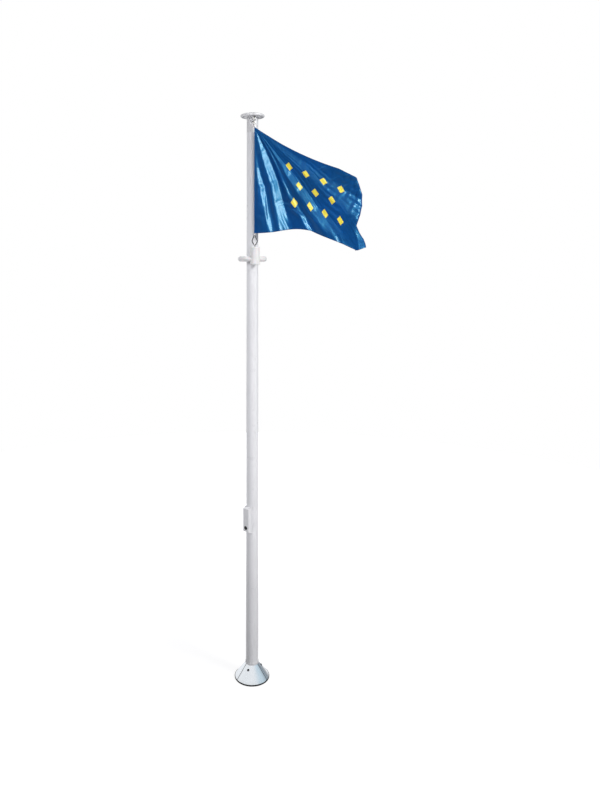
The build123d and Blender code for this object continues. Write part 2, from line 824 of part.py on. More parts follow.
with BuildPart() as flag:
    with BuildSketch(level(flag_foot_z - flag_hoist)):
        with BuildLine():
            for number in range(flag_waves):
                start_x = flag_start.X + number * flag_wave_length
                SagittaArc(
                    (start_x, flag_start.Y),
                    (start_x + flag_wave_length, flag_start.Y),
                    flag_wave_depth * (-1) ** (number + 1),
                )
        trace(line_width=flag_thickness)
    extrude(amount=2 * flag_hoist)
    with BuildSketch(Plane.XZ):
        with BuildLine():
            Polyline(
                [
                    (flag_start.X + out * flag_reach, flag_top_z - down * flag_hoist)
                    for out, down in flag_outline
                ],
                close=True,
            )
        make_face()
    extrude(amount=flag_reach, both=True, mode=Mode.INTERSECT)
write(flag.part, "flag")

side_length = hypot(karabiner_half_width, karabiner_top - karabiner_shoulder)
side_step = Vector(karabiner_half_width, karabiner_shoulder - karabiner_top) / side_length


def on_side(along):
    """Local point on the karabiner's gate side, this far from its top corner."""
    point = Vector(0, karabiner_top) + side_step * along
    return (point.X, point.Y)


with BuildPart() as karabiner_body:
    with BuildLine(karabiner_plane) as karabiner_line:
        FilletPolyline(
            on_side(gate_start + gate_length + gate_gap),
            (karabiner_half_width, karabiner_shoulder),
            (0, karabiner_bottom),
            (-karabiner_half_width, karabiner_shoulder),
            (0, karabiner_top),
            on_side(gate_start - gate_gap),
            radius=[
                karabiner_side_round,
                karabiner_end_round,
                karabiner_side_round,
                karabiner_end_round,
            ],
        )
    with BuildSketch(Plane(origin=karabiner_line.line @ 0, z_dir=karabiner_line.line % 0)):
        Circle(karabiner_wire_radius)
    sweep()
write(karabiner_body.part, "karabiner_body")

gate_pivot = karabiner_plane.from_local_coords((*on_side(gate_start + gate_barrel_radius), 0))
gate_tip = karabiner_plane.from_local_coords((*on_side(gate_start + gate_length), 0))
gate_plane = Plane(origin=gate_pivot, z_dir=gate_tip - gate_pivot)

with BuildPart() as karabiner_gate:
    with BuildSketch(gate_plane):
        Circle(gate_wire_radius)
    extrude(amount=(gate_tip - gate_pivot).length)
    with BuildSketch(Plane(origin=gate_pivot, z_dir=karabiner_plane.z_dir)):
        Circle(gate_barrel_radius)
    extrude(amount=gate_barrel_length / 2, both=True)
write(karabiner_gate.part, "karabiner_gate")

# --- Counterweight and guide ring -----------------------------------------------------------------

eye_z = foot_z + karabiner_wire_radius + touch_gap - (eye_radius - eye_wire_radius)
weight_top_z = eye_z - eye_radius - eye_foot_height
weight_band_top_z = weight_top_z - weight_height
weight_bottom_z = weight_band_top_z - weight_band_height
ring_z = weight_band_top_z + ring_rise

with BuildPart() as weight_body:
    with BuildSketch(level(weight_band_top_z, lead_turn, weight_out)):
        Circle(weight_radius)
    extrude(amount=weight_top_z - weight_band_top_z)
    fillet(weight_body.edges().group_by(Axis.Z)[-1], weight_shoulder_round)
write(weight_body.part, "weight_body")

with BuildPart() as weight_band:
    with BuildSketch(level(weight_bottom_z, lead_turn, weight_out)):
        Circle(weight_band_radius)
    extrude(amount=weight_band_top_z - weight_bottom_z)
    fillet(weight_band.edges().group_by(Axis.Z)[0], weight_bottom_round)
    fillet(weight_band.edges().group_by(Axis.Z)[-1], (weight_band_radius - weight_radius) * 0.8)
write(weight_band.part, "weight_band")

with BuildPart() as weight_eye:
    with BuildSketch(level(eye_z, lead_turn)):
        with Locations((eye_out + eye_radius, 0)):
            Circle(eye_wire_radius)
    revolve(axis=across_axis(eye_out, eye_z))
    with BuildSketch(level(weight_top_z, lead_turn, eye_out)):
        Circle(eye_foot_radius)
    extrude(amount=eye_foot_height)
write(weight_eye.part, "weight_eye")

with BuildPart() as guide_ring:
    with BuildSketch(upright(lead_turn + 180)):
        with Locations((weight_out, ring_z)):
            Circle(ring_tube_radius)
    revolve(axis=Axis.Z)
    with BuildSketch(level(weight_bottom_z, lead_turn, weight_out)):
        Circle(weight_band_radius + touch_gap)
    extrude(amount=weight_band_top_z + touch_gap - weight_bottom_z, mode=Mode.SUBTRACT)
    with BuildSketch(level(weight_bottom_z, lead_turn, weight_out)):
        Circle(weight_radius + touch_gap)
    extrude(amount=weight_top_z - weight_bottom_z, mode=Mode.SUBTRACT)
write(guide_ring.part, "guide_ring")
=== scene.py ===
"""Looks of the 5 m flagpole: materials, flag, ropes, small fittings, floor, light and camera."""

import json
from math import cos, pi, radians, sin

import bmesh
import bpy
import numpy as np
from mathutils import Matrix, Vector


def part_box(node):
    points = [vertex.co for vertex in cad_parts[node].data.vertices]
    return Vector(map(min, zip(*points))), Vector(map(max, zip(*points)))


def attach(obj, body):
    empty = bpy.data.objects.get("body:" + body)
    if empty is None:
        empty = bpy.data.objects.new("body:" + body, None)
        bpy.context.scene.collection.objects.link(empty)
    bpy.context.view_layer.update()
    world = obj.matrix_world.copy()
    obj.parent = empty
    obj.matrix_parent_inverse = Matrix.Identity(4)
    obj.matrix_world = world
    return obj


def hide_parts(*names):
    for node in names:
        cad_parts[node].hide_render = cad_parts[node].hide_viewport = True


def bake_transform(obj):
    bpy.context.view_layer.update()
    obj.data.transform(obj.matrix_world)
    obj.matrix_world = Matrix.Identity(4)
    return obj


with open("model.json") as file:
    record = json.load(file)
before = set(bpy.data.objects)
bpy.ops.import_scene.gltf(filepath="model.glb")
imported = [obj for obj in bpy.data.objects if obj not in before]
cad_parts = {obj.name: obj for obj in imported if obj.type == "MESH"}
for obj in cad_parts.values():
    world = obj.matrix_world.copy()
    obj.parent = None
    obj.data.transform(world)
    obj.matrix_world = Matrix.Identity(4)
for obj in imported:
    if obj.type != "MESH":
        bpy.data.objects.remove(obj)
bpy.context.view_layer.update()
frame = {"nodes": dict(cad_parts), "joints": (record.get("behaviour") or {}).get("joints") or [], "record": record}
scene = bpy.context.scene


def link(obj):
    scene.collection.objects.link(obj)
    return obj


# --- Camera ---------------------------------------------------------------------------------------

camera_data = bpy.data.cameras.new("camera")
camera_data.lens = 29.61
camera_data.shift_x = 0.0597
camera_data.shift_y = 0.0125
camera = link(bpy.data.objects.new("camera", camera_data))
camera.matrix_world = (
    Matrix.Translation((0, -5.552, 3.887))
    @ Matrix.Rotation(radians(77), 4, "X")
    @ Matrix.Rotation(radians(0.05), 4, "Z")
)
scene.camera = camera

# --- Material building ----------------------------------------------------------------------------


class Nodes:
    """Short ways to add nodes to a material's or the world's tree."""

    def __init__(self, tree, coordinates):
        self.tree = tree
        self.place = self.node("TexCoord").outputs[coordinates]

    def node(self, kind, *inputs, **props):
        made = self.tree.nodes.new("ShaderNode" + kind)
        for key, value in props.items():
            setattr(made, key, value)
        for number, value in enumerate(inputs):
            if value is not None:
                self.put(made.inputs[number], value)
        return made

    def put(self, socket, value):
        if isinstance(value, bpy.types.NodeSocket):
            self.tree.links.new(value, socket)
        else:
            socket.default_value = value

    def math(self, operation, *inputs, clamp=False):
        return self.node("Math", *inputs, operation=operation, use_clamp=clamp).outputs[0]

    def scaled(self, scale, place=None):
        mapping = self.node("Mapping", place or self.place)
        mapping.inputs["Scale"].default_value = scale
        return mapping.outputs[0]

    def noise(self, scale, detail=3.0, rough=0.55, place=None):
        made = self.node("TexNoise")
        self.put(made.inputs["Vector"], place or self.place)
        made.inputs["Scale"].default_value = scale
        made.inputs["Detail"].default_value = detail
        made.inputs["Roughness"].default_value = rough
        return made.outputs["Fac"]

    def cells(self, scale, feature="F1", output="Distance", place=None):
        made = self.node("TexVoronoi", feature=feature)
        self.put(made.inputs["Vector"], place or self.place)
        made.inputs["Scale"].default_value = scale
        return made.outputs[output]

    def span(self, value, low, high, to_low=0.0, to_high=1.0):
        made = self.node("MapRange", value, low, high, to_low, to_high, interpolation_type="SMOOTHSTEP")
        return made.outputs[0]

    def mix(self, share, first, second):
        made = self.node("Mix", data_type="RGBA")
        self.put(made.inputs["Factor"], share)
        for socket, value in ((made.inputs[6], first), (made.inputs[7], second)):
            self.put(socket, (*value, 1) if isinstance(value, tuple) else value)
        return made.outputs[2]

    def axes(self, place=None):
        return self.node("SeparateXYZ", place or self.place).outputs


class Paint(Nodes):
    """One procedural material. Object coordinates are metres in the shared frame."""

    def __init__(self, name, colour, roughness, metallic=0.0, **sockets):
        self.material = bpy.data.materials.new(name)
        self.material.use_nodes = True
        super().__init__(self.material.node_tree, "Object")
        self.shader = self.tree.nodes["Principled BSDF"]
        self.shader.inputs["Base Color"].default_value = (*colour, 1)
        self.shader.inputs["Roughness"].default_value = roughness
        self.shader.inputs["Metallic"].default_value = metallic
        for key, value in sockets.items():
            self.shader.inputs[key.replace("_", " ")].default_value = value
        self.colour = colour
        self.bumped = None

    def tone(self, share, second):
        """Lay another colour over what the base colour is so far."""
        socket = self.shader.inputs["Base Color"]
        first = socket.links[0].from_socket if socket.links else self.colour
        self.put(socket, self.mix(share, first, second))

    def gloss(self, share, low, high):
        self.put(self.shader.inputs["Roughness"], self.span(share, 0.0, 1.0, low, high))

    def bump(self, height, distance, strength=1.0):
        made = self.node("Bump")
        made.inputs["Strength"].default_value = strength
        made.inputs["Distance"].default_value = distance
        self.put(made.inputs["Height"], height)
        if self.bumped:
            self.put(made.inputs["Normal"], self.bumped)
        self.bumped = made.outputs[0]
        self.put(self.shader.inputs["Normal"], self.bumped)


def white_lacquer():
    paint = Paint("white_lacquer", (0.79, 0.79, 0.81), 0.3, Coat_Weight=0.35, Coat_Roughness=0.12)
    x, y, z = paint.axes()
    clouds = paint.noise(2.5, 4)
    paint.tone(paint.span(clouds, 0.35, 0.7, 0.0, 0.45), (0.72, 0.72, 0.745))
    runs = paint.noise(40, 4, 0.6, paint.scaled((1, 1, 0.03)))
    paint.tone(paint.span(runs, 0.56, 0.8, 0.0, 0.5), (0.62, 0.62, 0.62))
    splashes = paint.span(paint.noise(70, 5, 0.65, paint.scaled((1, 1, 0.35))), 0.5, 0.75)
    foot = paint.math("MULTIPLY", paint.span(z, 0.16, 0.6, 1.0, 0.0), splashes)
    paint.tone(paint.math("MULTIPLY", foot, 0.35), (0.5, 0.48, 0.45))
    specks = paint.span(paint.cells(55), 0.03, 0.05, 1.0, 0.0)
    chosen = paint.span(paint.noise(9, 1), 0.6, 0.64)
    paint.tone(paint.math("MULTIPLY", specks, paint.math("MULTIPLY", chosen, 0.6)), (0.42, 0.41, 0.4))
    paint.gloss(paint.noise(14, 4), 0.22, 0.42)
    paint.bump(paint.noise(420, 2), 0.0006, 0.12)
    paint.bump(paint.noise(30, 2), 0.002, 0.05)
    return paint


def polished_sheet():
    paint = Paint("polished_sheet", (0.86, 0.9, 0.94), 0.34, 0.85)
    x, y, z = paint.axes()
    turn = paint.math("ARCTAN2", y, x)
    around = paint.node("CombineXYZ", turn, z, 0.0).outputs[0]
    grain = paint.noise(1.0, 4, 0.65, paint.scaled((9, 900, 1), around))
    paint.tone(paint.span(grain, 0.4, 0.7, 0.0, 0.4), (0.7, 0.75, 0.8))
    drops = paint.span(paint.cells(90), 0.05, 0.1, 1.0, 0.0)
    few = paint.span(paint.noise(11, 2), 0.55, 0.62)
    paint.tone(paint.math("MULTIPLY", drops, paint.math("MULTIPLY", few, 0.45)), (0.5, 0.5, 0.48))
    low = paint.math(
        "MULTIPLY", paint.span(z, 0.012, 0.04, 1.0, 0.0), paint.span(paint.noise(120, 5), 0.45, 0.7)
    )
    paint.tone(paint.math("MULTIPLY", low, 0.4), (0.36, 0.34, 0.31))
    paint.gloss(paint.noise(25, 4), 0.19, 0.3)
    paint.bump(grain, 0.0002, 0.1)
    paint.bump(paint.noise(7, 2), 0.004, 0.08)
    return paint


def galvanised_steel():
    paint = Paint("galvanised_steel", (0.55, 0.56, 0.58), 0.5, 0.8)
    spangle = paint.cells(95, output="Color")
    shade = paint.math("MULTIPLY", paint.node("SeparateColor", spangle).outputs[0], 0.6)
    paint.tone(shade, (0.36, 0.37, 0.39))
    paint.tone(paint.span(paint.noise(30, 5), 0.56, 0.75, 0.0, 0.7), (0.68, 0.68, 0.68))
    rust = paint.math(
        "MULTIPLY", paint.span(paint.noise(60, 5), 0.62, 0.72), paint.span(paint.noise(9), 0.5, 0.6)
    )
    paint.tone(rust, (0.2, 0.09, 0.04))
    paint.gloss(paint.noise(60, 3), 0.38, 0.7)
    paint.bump(paint.noise(160, 4), 0.0012, 0.3)
    return paint


def cast_aluminium():
    paint = Paint("cast_aluminium", (0.67, 0.67, 0.685), 0.46, 0.2, Coat_Weight=0.05, Coat_Roughness=0.3)
    paint.tone(paint.span(paint.noise(12, 5), 0.45, 0.75, 0.0, 0.5), (0.58, 0.58, 0.59))
    x, y, z = paint.axes()
    streak = paint.noise(30, 4, 0.6, paint.scaled((1, 1, 0.08)))
    paint.tone(paint.span(streak, 0.56, 0.8, 0.0, 0.3), (0.52, 0.51, 0.49))
    paint.gloss(paint.noise(40, 4), 0.38, 0.62)
    paint.bump(paint.noise(520, 3), 0.0004, 0.08)
    paint.bump(paint.noise(60, 2), 0.002, 0.08)
    return paint


def white_plastic():
    paint = Paint("white_plastic", (0.75, 0.745, 0.745), 0.34, Subsurface_Weight=0.08, Subsurface_Scale=0.01)
    paint.tone(paint.span(paint.noise(9, 4), 0.42, 0.75, 0.0, 0.45), (0.71, 0.7, 0.69))
    rubbed = paint.noise(60, 5, 0.6, paint.scaled((1, 1, 0.15)))
    paint.tone(paint.span(rubbed, 0.58, 0.75, 0.0, 0.4), (0.55, 0.54, 0.53))
    paint.gloss(paint.noise(35, 4), 0.26, 0.5)
    paint.bump(paint.noise(700, 2), 0.0004, 0.2)
    paint.bump(paint.noise(25, 1), 0.002, 0.05)
    return paint


def black_rubber():
    paint = Paint("black_rubber", (0.012, 0.012, 0.013), 0.66, Specular_IOR_Level=0.35)
    paint.tone(paint.span(paint.noise(50, 5), 0.55, 0.8, 0.0, 0.5), (0.06, 0.057, 0.054))
    paint.gloss(paint.noise(90, 3), 0.5, 0.85)
    paint.bump(paint.noise(600, 4), 0.0008, 0.35)
    return paint


def dark_steel():
    paint = Paint("dark_steel", (0.012, 0.013, 0.015), 0.45, 0.0, Specular_IOR_Level=0.22)
    worn = paint.span(paint.noise(220, 5, 0.65), 0.6, 0.74)
    paint.tone(paint.math("MULTIPLY", worn, 0.25), (0.16, 0.155, 0.15))
    paint.gloss(paint.noise(120, 4), 0.34, 0.56)
    paint.bump(paint.noise(800, 3), 0.0003, 0.25)
    return paint


def stainless_steel():
    paint = Paint("stainless_steel", (0.58, 0.58, 0.59), 0.26, 0.95)
    brushed = paint.noise(1500, 3, 0.6, paint.scaled((1, 1, 0.06)))
    paint.tone(paint.span(brushed, 0.35, 0.7, 0.0, 0.5), (0.42, 0.42, 0.43))
    paint.gloss(brushed, 0.18, 0.4)
    paint.bump(brushed, 0.0002, 0.25)
    return paint


def rope():
    """Braided polyester; a rope's own meshes carry the strands, and this adds their yarns."""
    paint = Paint("rope", (0.68, 0.67, 0.63), 0.75, Sheen_Weight=0.12, Sheen_Roughness=0.5)
    yarn = paint.noise(2400, 3, 0.6, paint.scaled((1, 1, 0.35)))
    paint.tone(paint.span(yarn, 0.35, 0.7, 0.0, 0.6), (0.58, 0.57, 0.54))
    paint.tone(paint.span(paint.noise(40, 4), 0.5, 0.75, 0.0, 0.5), (0.55, 0.53, 0.48))
    paint.gloss(yarn, 0.62, 0.9)
    paint.bump(yarn, 0.0005, 0.5)
    return paint


# Sizes of the flag, in metres
FLAG_WIDTH, FLAG_HOIST = 1.2, 0.8
HEM, TAPE = 0.014, 0.026
MOTIF_PITCH, MOTIF_RISE = 0.155, 0.175
MOTIF_HALF_WIDTH, MOTIF_HALF_HEIGHT = 0.034, 0.047
MOTIF_START, MOTIF_TOP = 0.33, 0.225


def flag_cloth():
    """Royal blue woven polyester with sewn-on yellow lozenges; its UVs are metres on the flat cloth."""
    paint = Paint(
        "flag_cloth", (0.001, 0.048, 0.2), 0.36,
        Specular_IOR_Level=0.78, Coat_Weight=0.22, Coat_Roughness=0.15,
    )
    paint.shader.inputs["Specular Tint"].default_value = (0.1, 0.7, 1.0, 1)
    uv = paint.node("UVMap", uv_map="flat").outputs[0]
    u, v, _ = paint.axes(uv)
    math = paint.math
    # lozenges in staggered rows of four, three and four
    row = math("FLOOR", math("ADD", math("DIVIDE", math("SUBTRACT", v, MOTIF_TOP), MOTIF_RISE), 0.5))
    odd = math("FLOORED_MODULO", row, 2.0)
    from_start = math("SUBTRACT", math("SUBTRACT", u, MOTIF_START), math("MULTIPLY", odd, MOTIF_PITCH / 2))
    column = math("FLOOR", math("ADD", math("DIVIDE", from_start, MOTIF_PITCH), 0.5))
    du = math("ABSOLUTE", math("SUBTRACT", from_start, math("MULTIPLY", column, MOTIF_PITCH)))
    dv = math("ABSOLUTE", math("SUBTRACT", math("SUBTRACT", v, MOTIF_TOP), math("MULTIPLY", row, MOTIF_RISE)))
    inside = math("ADD", math("DIVIDE", du, MOTIF_HALF_WIDTH), math("DIVIDE", dv, MOTIF_HALF_HEIGHT))
    rows_in = math("MULTIPLY", math("GREATER_THAN", row, -0.5), math("LESS_THAN", row, 2.5))
    last = math("SUBTRACT", 3.5, odd)
    columns_in = math("MULTIPLY", math("GREATER_THAN", column, -0.5), math("LESS_THAN", column, last))
    there = math("MULTIPLY", rows_in, columns_in)
    motif = math("MULTIPLY", paint.span(inside, 0.98, 1.02, 1.0, 0.0), there)
    border = math("MULTIPLY", motif, paint.span(inside, 0.86, 0.92))
    # hems, hoist tape and their stitches
    edge = math(
        "MINIMUM", math("MINIMUM", v, math("SUBTRACT", FLAG_HOIST, v)), math("SUBTRACT", FLAG_WIDTH, u)
    )
    hem = math("LESS_THAN", edge, HEM)
    tape = math("LESS_THAN", u, TAPE)
    doubled = math("MAXIMUM", hem, tape)
    near_line = math("MINIMUM", math("ABSOLUTE", math("SUBTRACT", edge, HEM - 0.002)),
                     math("ABSOLUTE", math("SUBTRACT", u, TAPE - 0.002)))
    near_line = math("MINIMUM", near_line, math("ABSOLUTE", math("SUBTRACT", edge, 0.003)))
    along = math("FRACT", math("MULTIPLY", math("ADD", u, v), 1 / 0.0036))
    stitch = math("MULTIPLY", math("LESS_THAN", near_line, 0.0004), math("LESS_THAN", along, 0.68))
    # weave and colour
    warp = math("SINE", math("MULTIPLY", u, 2 * pi / 0.0011))
    weft = math("SINE", math("MULTIPLY", v, 2 * pi / 0.0011))
    weave = math("MULTIPLY", warp, weft)
    slubs = paint.noise(5, 5, 0.6, paint.scaled((40, 2, 1), uv))
    paint.tone(paint.span(paint.noise(3.0, 3, 0.5, uv), 0.35, 0.7, 0.0, 0.5), (0.0015, 0.07, 0.33))
    paint.tone(paint.span(slubs, 0.55, 0.75, 0.0, 0.25), (0.001, 0.04, 0.2))
    paint.tone(math("MULTIPLY", doubled, 0.45), (0.001, 0.03, 0.16))
    paint.tone(motif, (0.93, 0.76, 0.06))
    paint.tone(math("MULTIPLY", border, 0.55), (0.62, 0.45, 0.02))
    paint.tone(math("MULTIPLY", stitch, 0.7), (0.006, 0.09, 0.32))
    paint.gloss(paint.noise(160, 3, 0.6, uv), 0.3, 0.42)
    paint.bump(weave, 0.00015, 0.2)
    paint.bump(math("ADD", math("MULTIPLY", doubled, 0.5), math("MULTIPLY", motif, 0.5)), 0.0008, 0.6)
    paint.bump(stitch, 0.0005, 0.6)
    paint.bump(paint.noise(26, 3, 0.5, uv), 0.006, 0.1)
    # light that comes through the cloth
    through = paint.node("BsdfTranslucent")
    through.inputs["Color"].default_value = (0.002, 0.1, 0.42, 1)
    both = paint.node("MixShader", 0.08)
    paint.put(both.inputs[1], paint.shader.outputs[0])
    paint.put(both.inputs[2], through.outputs[0])
    paint.put(paint.tree.nodes["Material Output"].inputs["Surface"], both.outputs[0])
    return paint


makers = {
    "white_lacquer": white_lacquer,
    "polished_sheet": polished_sheet,
    "galvanised_steel": galvanised_steel,
    "cast_aluminium": cast_aluminium,
    "white_plastic": white_plastic,
    "black_rubber": black_rubber,
    "dark_steel": dark_steel,
    "stainless_steel": stainless_steel,
    "rope": rope,
    "flag_cloth": flag_cloth,
}
materials = {name: make().material for name, make in makers.items()}

for subpart in frame["record"]["subparts"]:
    node_object = frame["nodes"][subpart["node"]]
    node_object.data.materials.clear()
    node_object.data.materials.append(materials[subpart["material_slot"]])

# --- Mesh building --------------------------------------------------------------------------------


def add_piece(name, verts, faces, slot, body, smooth=True, replaced=()):
    mesh = bpy.data.meshes.new(name)
    mesh.from_pydata([tuple(v) for v in verts], [], [tuple(f) for f in faces])
    mesh.materials.append(materials[slot])
    if smooth:
        mesh.shade_smooth()
    piece = link(bpy.data.objects.new(name, mesh))
    if replaced:
        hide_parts(*replaced)
    if body:
        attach(piece, body)
    return piece


def joined(parts):
    """Several (verts, faces) lists as one."""
    verts, faces = [], []
    for some_verts, some_faces in parts:
        start = len(verts)
        verts += [Vector(v) for v in some_verts]
        faces += [[start + i for i in f] for f in some_faces]
    return verts, faces


def lathe(profile, place, turns=32):
    """Solid of revolution about a matrix's z axis; profile is (radius, height), from axis to axis."""
    verts, faces = [], []
    for radius, height in profile[1:-1]:
        for k in range(turns):
            a = 2 * pi * k / turns
            verts.append(place @ Vector((radius * cos(a), radius * sin(a), height)))
    rings = len(profile) - 2
    first = len(verts)
    verts += [place @ Vector((0, 0, profile[0][1])), place @ Vector((0, 0, profile[-1][1]))]
    for k in range(turns):
        n = (k + 1) % turns
        faces.append((first, n, k))
        top = (rings - 1) * turns
        faces.append((first + 1, top + k, top + n))
        for j in range(rings - 1):
            faces.append((j * turns + k, j * turns + n, (j + 1) * turns + n, (j + 1) * turns + k))
    return verts, faces


def hexagon(across, low, high, place, chamfer=0.0008):
    """Hexagon head or nut with its corners turned down at the top."""
    radius = across / 2 / cos(pi / 6)
    verts, faces = [], []
    levels = (
        (low, radius, radius),
        (high - chamfer, radius, radius),
        (high, radius - chamfer * 1.6, across / 2 - chamfer),
    )
    for height, corner, middle in levels:
        for k in range(12):
            a = pi * k / 6
            reach = corner if k % 2 == 0 else min(middle, across / 2)
            verts.append(place @ Vector((reach * cos(a), reach * sin(a), height)))
    faces.append(tuple(reversed(range(12))))
    for j in range(2):
        for k in range(12):
            n = (k + 1) % 12
            faces.append((j * 12 + k, j * 12 + n, (j + 1) * 12 + n, (j + 1) * 12 + k))
    faces.append(tuple(range(24, 36)))
    return verts, faces


def frames_along(points, closed):
    """Steady cross axes along a path."""
    count = len(points)
    tangents = []
    for i in range(count):
        before = points[(i - 1) % count] if closed or i else points[0]
        after = points[(i + 1) % count] if closed or i < count - 1 else points[-1]
        tangents.append((after - before).normalized())
    side = tangents[0].orthogonal().normalized()
    axes = []
    for tangent in tangents:
        side = (side - tangent * side.dot(tangent)).normalized()
        axes.append((side.copy(), tangent.cross(side)))
    return axes


def braid(points, radius, pitch=0.011, plaits=8, relief=0.07, around=32, closed=False):
    """Tube along a path whose surface rises and falls like a braided rope's crossing strands."""
    axes = frames_along(points, closed)
    verts, faces = [], []
    run = 0.0
    count = len(points)
    for i, point in enumerate(points):
        if i:
            run += (point - points[i - 1]).length
        side, up = axes[i]
        for k in range(around):
            a = 2 * pi * k / around
            turn = 2 * pi * run / pitch
            over = abs(sin(plaits / 2 * a + turn)) * abs(sin(plaits / 2 * a - turn))
            reach = radius * (1 - relief + relief * over**0.5)
            verts.append(point + (side * cos(a) + up * sin(a)) * reach)
    for i in range(count if closed else count - 1):
        j = (i + 1) % count
        for k in range(around):
            n = (k + 1) % around
            faces.append((i * around + k, i * around + n, j * around + n, j * around + k))
    if not closed:
        faces.append(tuple(reversed(range(around))))
        faces.append(tuple(range((count - 1) * around, count * around)))
    return verts, faces


def smooth_run(points, step):
    """Points along straight runs and bends, evenly spaced."""
    dense = []
    for a, b in zip(points[:-1], points[1:]):
        pieces = max(1, round((b - a).length / step))
        dense += [a.lerp(b, k / pieces) for k in range(pieces)]
    return dense + [points[-1]]


def outward(turn):
    return Vector((cos(radians(turn)), sin(radians(turn)), 0))


# --- Places taken from the model ------------------------------------------------------------------

LEAD_TURN, DOOR_TURN = -77.0, 225.0
ROPE_RADIUS, WRAP_RADIUS = 0.003, 0.0042
lead = outward(LEAD_TURN)
lead_side = outward(LEAD_TURN + 90)
outer_low, outer_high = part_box("halyard_outer")
flag_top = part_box("flag")[1].z
halyard_axis = (outer_low + outer_high) / 2
pulley_z = outer_high.z
flange_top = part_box("base_flange")[1].z

# --- Flag -----------------------------------------------------------------------------------------

CELLS_LONG, CELLS_HIGH = 144, 96
SETTLED_SHARE, SETTLING_FRAMES = 0.3, 18
corner = Vector((0.0162, -0.0702, flag_top))  # the flag's upper hoist corner


def flag_surface():
    """The flag in a light wind, designed as the folds that hang from its upper hoist corner.

    Gives its points and the strength that holds each near its place while the cloth relaxes.
    """
    s, t = np.meshgrid(
        np.linspace(0, FLAG_WIDTH, CELLS_LONG + 1), np.linspace(0, FLAG_HOIST, CELLS_HIGH + 1), indexing="ij"
    )
    # the fly end is blown round behind; near its lower corner it first turns a little, then right round
    depths = (0, 0.06, 0.15, 0.28, 0.40, 0.48, 0.54, 0.60, 0.68, 0.75, 0.80)
    first_at = np.interp(t, depths, (0.83, 0.86, 0.90, 0.91, 0.90, 0.89, 0.89, 0.925, 0.955, 0.965, 0.965))
    first_angle = np.radians(np.interp(t, depths, (0, 3, 4, 4, 3, 0, 0, 20, 27, 27, 24)))
    round_at = np.interp(
        t, depths, (0.865, 0.905, 0.958, 0.98, 0.970, 0.95, 0.935, 0.975, 1.028, 1.045, 1.045)
    )
    round_angle = np.radians(np.interp(t, depths, (150, 155, 160, 162, 160, 158, 156, 150, 142, 142, 142)))
    theta = (first_angle * np.clip((s - first_at) / 0.03, 0, 1)
             + round_angle * np.clip((s - round_at) / 0.075, 0, 1))
    step = FLAG_WIDTH / CELLS_LONG
    middle = (theta[1:] + theta[:-1]) / 2
    along = np.concatenate([np.zeros((1, t.shape[1])), np.cumsum(np.cos(middle) * step, axis=0)])
    behind = np.concatenate([np.zeros((1, t.shape[1])), np.cumsum(np.sin(middle) * step, axis=0)])
    # the right angle at the corner is drawn together by its folds
    r = np.hypot(along, t)
    flat_turn = np.degrees(np.arctan2(along, t))
    top_edge = np.interp(r, (0.0, 0.23, 0.51, 0.73, 0.93, 1.2), (58.5, 59.8, 62.8, 65.2, 65.0, 64.0))
    turn = np.interp(flat_turn, (0, 10, 20, 30, 45, 60, 75, 90), (0, 10, 19.5, 28.6, 38.2, 46.7, 55.1, 63.5))
    turn = turn * top_edge / 63.5
    # fold lines, as angles at the corner, one row for each distance from it, and how far back each lies
    rows = (0.12, 0.30, 0.45, 0.60, 0.80, 1.05)
    lines = np.array([
        (0, 1.0, 4.0, 14.0, 28.0, 33.0, 36.0, 39.0, 42.0, 50.0, 57.0, 66.0),
        (0, 1.5, 7.5, 15.0, 27.0, 31.5, 33.5, 36.5, 41.0, 50.0, 57.0, 66.0),
        (0, 4.5, 11.0, 16.5, 25.5, 29.0, 30.5, 34.5, 41.0, 49.0, 57.0, 66.0),
        (0, 6.0, 11.5, 14.5, 23.0, 27.5, 29.5, 34.0, 41.0, 49.0, 58.0, 66.0),
        (0, 8.0, 11.5, 13.5, 20.5, 28.0, 30.0, 34.0, 40.0, 49.0, 58.0, 66.0),
        (0, 8.0, 11.5, 13.5, 20.0, 28.0, 31.0, 35.5, 41.0, 49.0, 57.0, 66.0),
    ])
    back = np.array([
        (0, -0.006, 0.010, -0.040, 0.050, -0.020, 0.004, -0.034, -0.006, -0.040, -0.024, -0.050),
        (0, -0.012, 0.022, -0.034, 0.044, -0.024, 0.004, -0.040, -0.004, -0.042, -0.022, -0.050),
        (0, -0.026, 0.018, -0.034, 0.030, -0.028, 0.000, -0.046, -0.002, -0.044, -0.020, -0.050),
        (0, -0.036, 0.002, -0.036, 0.016, -0.036, -0.008, -0.054, -0.010, -0.048, -0.024, -0.052),
        (0, -0.044, -0.022, -0.044, -0.004, -0.046, -0.024, -0.062, -0.022, -0.056, -0.034, -0.058),
        (0, -0.044, -0.022, -0.044, -0.004, -0.046, -0.024, -0.062, -0.054, -0.068, -0.044, -0.066),
    ])
    offsets = np.linspace(-2.0, 2.0, 9)
    weights = np.exp(-0.5 * (offsets / 1.0) ** 2)
    weights /= weights.sum()
    lean = np.zeros_like(r)
    for i in range(r.shape[0]):
        for j in range(r.shape[1]):
            line = [np.interp(r[i, j], rows, lines[:, k]) for k in range(lines.shape[1])]
            deep = [np.interp(r[i, j], rows, back[:, k]) for k in range(lines.shape[1])]
            lean[i, j] = (np.interp(np.abs(turn[i, j] + offsets), line, deep) * weights).sum()
    x = corner.x + r * np.sin(np.radians(turn))
    z = corner.z - r * np.cos(np.radians(turn))
    z += 0.6 * np.clip(along - 0.955, 0, None) * (t / FLAG_HOIST) ** 3
    z += 0.035 * np.exp(-(((x - 0.36) / 0.17) ** 2)) * (t / FLAG_HOIST) ** 2
    y = corner.y + 1.45 * r * lean * np.clip(turn / 2.5, 0, 1) + 0.06 * along + behind
